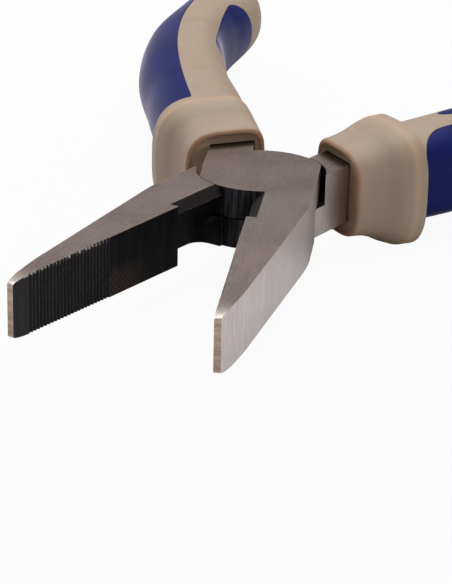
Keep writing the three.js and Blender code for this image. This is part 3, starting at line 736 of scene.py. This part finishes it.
# A pad as a loft of closed loops: over the skin with rolled rims, and back along a deeper skin.
def padRows(pad, gap, top, depth, rim):
    fine = np.linspace(pad["start"] - gap, pad["end"] + gap, pads["searched"])
    shown = fine[padSpan(pad, fine, gap) > pads["leastSpan"]]
    first, last = shown[0], shown[-1]
    backs = first + (last - first) * (1 - np.cos(np.linspace(0, np.pi, pads["rings"]))) / 2
    span = padSpan(pad, backs, gap)[:, None]
    over = np.sin(np.linspace(-np.pi / 2, np.pi / 2, pads["over"]))[None, :]
    under = np.linspace(-1, 1, pads["under"])[None, :]
    middle = 0 if pad["side"] > 0 else np.pi
    lateral = span * (1 - np.abs(over)) * pads["sectionRadius"]
    lengthwise = np.minimum(backs - first, last - backs)[:, None]
    roll = rimDrop(np.minimum(lateral, lengthwise), rim)
    outside = skinPoint(backs[:, None], middle + span * over, top - roll)
    beneath = skinPoint(backs[:, None], middle - span * under, -depth)
    return np.concatenate([outside, beneath], axis=1)


def padMesh(name, pad, side):
    return closedLoft(name, padRows(pad, 0.0, 0.0, pad["depth"], pads["rim"]), side)


# A recess is the same form, a gap larger and open past the skin.
def padCutter(pad, side):
    depth = pad["depth"] + pads["gap"]
    return closedLoft("padCutter", padRows(pad, pads["gap"], pads["cutAbove"], depth, 0.0), side)


# An oval let into the flat of the grip: rings about its middle on the skin, a rolled rim, and rings
# underneath.
def ovalMesh(name, side, up, gap, top, depth, rim):
    turn = np.linspace(0, 2 * np.pi, badge["around"], endpoint=False)[None, :]
    share = np.concatenate([np.linspace(0.06, 0.8, 8), np.linspace(0.84, 1, 7)])[:, None]
    roll = rimDrop((1 - share) * badge["halfWidth"], rim)
    back = badge["place"] + (badge["halfLength"] + gap) * share * np.cos(turn)
    out = badge["out"] + (badge["halfWidth"] + gap) * share * np.sin(turn)
    over = skinOver(back, out, top - roll, up)
    under = skinOver(back[::-3], out[::-3], -depth, up)
    return closedLoft(name, np.concatenate([over, under]), side)


# The middle of the shank: straight out of the tang, then on the grip's spine.
def shankX(back):
    tangMiddle = (socket["inner"] + socket["outer"]) / 2
    return tangMiddle + (spineX(back) - tangMiddle) * smoothStep(back, 0, socket["blend"])


# The socket for the shank: four-cornered sections along the shank's own line, a gap larger all round.
def socketMesh(side):
    length = grip["length"] - socket["endCover"]
    backs = np.concatenate([[-socket["frontOverrun"]], np.linspace(0, length, socket["rings"])])
    slope = np.arctan(shankX(backs + 0.5) - shankX(backs - 0.5))
    along = np.clip(backs / length, 0, 1)
    tangHalf = (socket["outer"] - socket["inner"]) / 2
    half = tangHalf + (socket["endHalfWidth"] - tangHalf) * along + socket["gap"]
    thinning = np.clip((backs - socket["thinFrom"]) / (grip["length"] - socket["thinFrom"]), 0, 1)
    tall = midHeight + (socket["endHalfHeight"] - midHeight) * thinning + socket["gap"]
    corners = []
    for across, up in ((1, 1), (-1, 1), (-1, -1), (1, -1)):
        x = shankX(backs) + across * half * np.cos(slope)
        y = grip["mouthY"] - backs + across * half * np.sin(slope)
        corners.append(np.stack([x, y, midHeight + up * tall], axis=-1))
    return closedLoft("socketCutter", np.stack(corners, axis=1), side)


def placed(name, mesh):
    piece = bpy.data.objects.new(name, mesh)
    scene.collection.objects.link(piece)
    return piece


# Cuts the sockets and recesses out of a grip, one exact cut after another.
def cutOut(piece, cutters):
    for mesh in cutters:
        tool = placed("cutter", mesh)
        cut = piece.modifiers.new("cut", "BOOLEAN")
        cut.operation, cut.solver, cut.object = "DIFFERENCE", "EXACT", tool
        bpy.context.view_layer.update()
        graph = bpy.context.evaluated_depsgraph_get()
        result = bpy.data.meshes.new_from_object(piece.evaluated_get(graph))
        piece.modifiers.clear()
        piece.data = result
        bpy.data.objects.remove(tool)


# How a grip is marked: a bell about a place behind the mouth, in mm, over the outer part of the section, for
# the lip's wear and for a painted highlight on the guard's crease, and the mouth's painted shade over the
# inner part.
marks = {
    "lip": {"place": 0.1, "width": 0.55, "reach": (0.72, 0.88)},
    # a paler tint along the guard's crease: painted highlight
    "guard": {"place": grip["guardPlace"] + 0.3, "width": 0.9, "reach": (0.9, 1.0)},
    "mouthReach": (0.6, 0.86), "mouthDepth": 4.0,
}


# Marks each point by how far back along the grip and how far out in its section it lies. The place back is
# found by steps, each going half the way to where the section through the point meets the spine.
def markWearAndPaintedLight(mesh, side):
    points = np.zeros(len(mesh.vertices) * 3)
    mesh.vertices.foreach_get("co", points)
    x, y, z = toDrawing(points.reshape(-1, 3), side).T
    back = grip["mouthY"] - y
    for _ in range(12):
        tilt = stationTilt(back)
        out = (x - spineX(back)) / np.cos(tilt)
        back = 0.5 * back + 0.5 * (grip["mouthY"] - y + out * np.sin(tilt))
    height, outer, inner, outerPower, innerPower = section(np.maximum(back, 0.9), 0.0)
    wide = np.where(out > 0, outer, inner)
    power = np.where(out > 0, outerPower, innerPower)
    reach = (np.abs(out / wide) ** power + np.abs((z - midHeight) / height) ** power) ** (1 / power)

    def bell(mark):
        return np.exp(-((back - mark["place"]) / mark["width"]) ** 2) * smoothStep(reach, *mark["reach"])

    # Painted shade in the mouth, over the inner part of the section near the front.
    inside = (1 - smoothStep(reach, *marks["mouthReach"])) * smoothStep(marks["mouthDepth"] - back, 0, 1)
    for label, value in (
        ("lipWear", bell(marks["lip"])),
        ("guardCreaseHighlight", bell(marks["guard"])),
        ("mouthShade", inside),
    ):
        held = mesh.attributes.new(label, "FLOAT", "POINT")
        held.data.foreach_set("value", value.astype(np.float32))


beigeLook = {
    "light": srgb(167, 147, 129), "dark": srgb(161, 140, 121), "cloudScale": 70.0, "pebbleScale": 2600.0,
    "speck": srgb(96, 76, 60), "speckShare": 0.5, "speckScale": 260.0, "speckSize": 0.07,
    "dust": srgb(226, 214, 200), "dustShare": 0.35, "dustScale": 420.0, "dustSize": 0.06,
    "patchScale": 420.0, "roughest": 0.62, "smoothest": 0.52, "specular": 0.4, "bump": 0.12,
    # each mark's attribute, strength and colour
    "marks": [
        ("lipWear", 0.85, srgb(152, 108, 74)),
        # painted highlight on the guard's crease
        ("guardCreaseHighlight", 0.6, srgb(190, 158, 130)),
        # painted shade in the mouth
        ("mouthShade", 0.8, srgb(146, 122, 92)),
    ],
}
blueLook = {
    "light": srgb(14, 30, 100), "dark": srgb(10, 23, 86), "cloudScale": 80.0, "pebbleScale": 1800.0,
    "speck": srgb(96, 98, 140), "speckShare": 0.5, "speckScale": 300.0, "speckSize": 0.07,
    "roughest": 0.5, "smoothest": 0.42, "specular": 0.1, "bump": 0.15,
    "sheen": 0.62, "sheenRoughness": 0.2, "sheenTint": srgb(250, 236, 255),
}
plasticLook = {
    "pebbleDepth": 0.05 * mm, "cloudTone": (0.35, 0.65), "roughTone": (0.3, 0.7),
    "patchTone": (0.2, 0.6), "patchLeast": 0.6, "sharpAngle": 40,
}


# The start that both plastics share: slow clouding in two tones, sparse specks, and a fine pebbled surface.
def softPlastic(name, look, cloudRoughness):
    material, tree, shader = newMaterial(name)
    space = patternSpace(tree)
    cloud = addNode(
        tree, "TexNoise", Vector=space, Scale=look["cloudScale"], Detail=4.0, Roughness=cloudRoughness
    ).outputs[0]
    pebble = addNode(tree, "TexNoise", Vector=space, Scale=look["pebbleScale"], Detail=2.0)
    colour = mixColour(tree, spread(tree, cloud, *plasticLook["cloudTone"]), look["dark"], look["light"])
    speck = useGroup(tree, speckGroup, Vector=space, Scale=look["speckScale"], Size=look["speckSize"])
    colour = mixColour(tree, math2(tree, "MULTIPLY", speck, look["speckShare"]), colour, look["speck"])
    rough = spread(tree, cloud, *plasticLook["roughTone"], look["roughest"], look["smoothest"])
    tree.links.new(rough, shader.inputs["Roughness"])
    shader.inputs["Specular IOR Level"].default_value = look["specular"]
    depth = plasticLook["pebbleDepth"]
    bumped = addNode(tree, "Bump", Height=pebble.outputs[0], Strength=look["bump"], Distance=depth)
    tree.links.new(bumped.outputs[0], shader.inputs["Normal"])
    return material, tree, shader, space, colour


# The beige moulding: pale dust as well, rubbed brown along the lip, a painted highlight on the guard's crease
# and painted shade in the mouth.
def beigePlastic():
    material, tree, shader, space, colour = softPlastic("beigePlastic", beigeLook, 0.55)
    turned = patternSpace(tree, (20, 40, 0))
    dust = useGroup(
        tree, speckGroup, Vector=turned, Scale=beigeLook["dustScale"], Size=beigeLook["dustSize"]
    )
    dustShare = math2(tree, "MULTIPLY", dust, beigeLook["dustShare"])
    colour = mixColour(tree, dustShare, colour, beigeLook["dust"])
    patch = addNode(tree, "TexNoise", Vector=space, Scale=beigeLook["patchScale"], Detail=3.0)
    for label, strength, tint in beigeLook["marks"]:
        held = addNode(tree, "Attribute", {"attribute_name": label})
        least = strength * plasticLook["patchLeast"]
        uneven = spread(tree, patch.outputs[0], *plasticLook["patchTone"], least, strength)
        colour = mixColour(tree, math2(tree, "MULTIPLY", held.outputs["Fac"], uneven), colour, tint)
    tree.links.new(colour, shader.inputs["Base Color"])
    return material


# The blue pads: dusty soft plastic that pales where it turns away.
def bluePlastic():
    material, tree, shader, space, colour = softPlastic("bluePlastic", blueLook, 0.5)
    tree.links.new(colour, shader.inputs["Base Color"])
    shader.inputs["Sheen Weight"].default_value = blueLook["sheen"]
    shader.inputs["Sheen Roughness"].default_value = blueLook["sheenRoughness"]
    shader.inputs["Sheen Tint"].default_value = blueLook["sheenTint"]
    return material


beigeSkin, blueSkin = beigePlastic(), bluePlastic()


def finishPiece(piece, skin, half, node):
    piece.data.materials.clear()
    piece.data.materials.append(skin)
    piece.data.polygons.foreach_set("use_smooth", np.ones(len(piece.data.polygons), bool))
    piece.data.set_sharp_from_angle(angle=math.radians(plasticLook["sharpAngle"]))
    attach(piece, half["body"])
    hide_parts(node)


for which, half in halves.items():
    side, up = half["side"], half["badgeUp"]
    core = placed(which + "_grip_moulding", gripSkin(side))
    badgeFloor = badge["depth"] + badge["gap"]
    cutOut(core, [
        padCutter(pads["outer"], side),
        padCutter(pads["inner"], side),
        ovalMesh("badgeCutter", side, up, badge["gap"], badge["cutAbove"], badgeFloor, 0.0),
        socketMesh(side),
    ])
    markWearAndPaintedLight(core.data, side)
    finishPiece(core, beigeSkin, half, which + "_grip_core")
    for label in ("outer", "inner"):
        pad = placed(which + "_" + label + "_pad_moulding", padMesh(label + "Pad", pads[label], side))
        finishPiece(pad, blueSkin, half, which + "_grip_" + label + "_pad")
    ovalPiece = ovalMesh("badgeOval", side, up, 0.0, 0.0, badge["depth"], badge["rim"])
    oval = placed(which + "_badge_inlay", ovalPiece)
    finishPiece(oval, blueSkin, half, which + "_grip_badge")
    print(which, "grip made,", len(core.data.polygons), "faces")

# The floor glows a little to the camera only, so that it reads as a pale sweep.
studio = {
    "floorDrop": 0.3 * mm, "floorReach": 4.0, "floorShown": 0.94, "floorTone": 0.62,
    "floorRoughness": 0.9, "floorSpecular": 0.1,
    # name, place, size, watts, colour
    "lights": [
        ("overhead", (0.1, -0.22, 0.72), (0.8, 0.7), 6.0, (1.0, 0.99, 0.97)),
        ("rightPanel", (-0.75, 0.15, 0.22), (0.7, 0.5), 1.38, (1.0, 0.99, 0.98)),
        ("leftPanel", (0.7, -0.25, 0.35), (0.5, 0.6), 1.6, (0.97, 0.98, 1.0)),
    ],
    "world": (0.27, 0.27, 0.27, 1.0),
}
# Distance in metres, then degrees round and above the pivot, and the turns about the camera's own axes.
camera = {
    "distance": 0.4225, "around": 19.685, "above": 19.22, "roll": -1.60, "yaw": 0.864, "pitch": 2.351,
    "lens": 139.39, "sensor": 36.0, "near": 0.02, "far": 20.0,
}

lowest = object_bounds()[0]
reach, floorHeight = studio["floorReach"], lowest[2] - studio["floorDrop"]
floorPoints = [(x * reach, y * reach, floorHeight) for x, y in ((-1, -1), (1, -1), (1, 1), (-1, 1))]
floorMesh = bpy.data.meshes.new("floor")
floorMesh.from_pydata(floorPoints, [], [(0, 1, 2, 3)])
floor = placed("studio_floor", floorMesh)
floorSkin, tree, shader = newMaterial("paleFloor")
shader.inputs["Base Color"].default_value = (*[studio["floorTone"]] * 3, 1)
shader.inputs["Roughness"].default_value = studio["floorRoughness"]
shader.inputs["Specular IOR Level"].default_value = studio["floorSpecular"]
glow = addNode(tree, "Emission", Color=(1, 1, 1, 1), Strength=1.0)
path = addNode(tree, "LightPath")
shown = math2(tree, "MULTIPLY", path.outputs["Is Camera Ray"], studio["floorShown"])
both = addNode(tree, "MixShader", i0=shown, i1=shader.outputs[0], i2=glow.outputs[0])
tree.links.new(both.outputs[0], tree.nodes["Material Output"].inputs["Surface"])
floorMesh.materials.append(floorSkin)

for name, place, size, watts, colour in studio["lights"]:
    data = bpy.data.lights.new(name, "AREA")
    data.shape, data.size, data.size_y = "RECTANGLE", size[0], size[1]
    data.energy, data.color = watts, colour
    lamp = bpy.data.objects.new(name, data)
    scene.collection.objects.link(lamp)
    lamp.location = place
    lamp.rotation_euler = (Vector((0, 0, 0)) - Vector(place)).to_track_quat("-Z", "Y").to_euler()

world = bpy.data.worlds.new("studio")
world.use_nodes = True
world.node_tree.nodes["Background"].inputs["Color"].default_value = studio["world"]
scene.world = world
scene.view_settings.view_transform = "Standard"

# The camera looks at the pivot from in front of the jaws, is rolled a little, and is then swung so that the
# joint sits above the middle. Each turn mixes two of its axes by cosine and sine.
around, above = math.radians(camera["around"]), math.radians(camera["above"])
level = Vector((math.sin(around), -math.cos(around), 0))
right = Vector((-math.cos(around), -math.sin(around), 0))
ahead = level * math.cos(above) - Vector((0, 0, 1)) * math.sin(above)
upward = level * math.sin(above) + Vector((0, 0, 1)) * math.cos(above)
place = Vector((0, 0, midHeight * mm)) - ahead * camera["distance"]
for turn in ("roll", "pitch", "yaw"):
    c, s = math.cos(math.radians(camera[turn])), math.sin(math.radians(camera[turn]))
    if turn == "roll":
        right, upward = right * c - upward * s, right * s + upward * c
    elif turn == "pitch":
        upward, ahead = upward * c + ahead * s, ahead * c - upward * s
    else:
        right, ahead = right * c + ahead * s, ahead * c - right * s
eye = bpy.data.cameras.new("studioCamera")
eye.lens, eye.sensor_width, eye.sensor_fit = camera["lens"], camera["sensor"], "AUTO"
eye.clip_start, eye.clip_end = camera["near"], camera["far"]
view = bpy.data.objects.new("studioCamera", eye)
scene.collection.objects.link(view)
view.matrix_world = Matrix.Translation(place) @ Matrix((right, upward, -ahead)).transposed().to_4x4()
scene.camera = view
print("studio set")
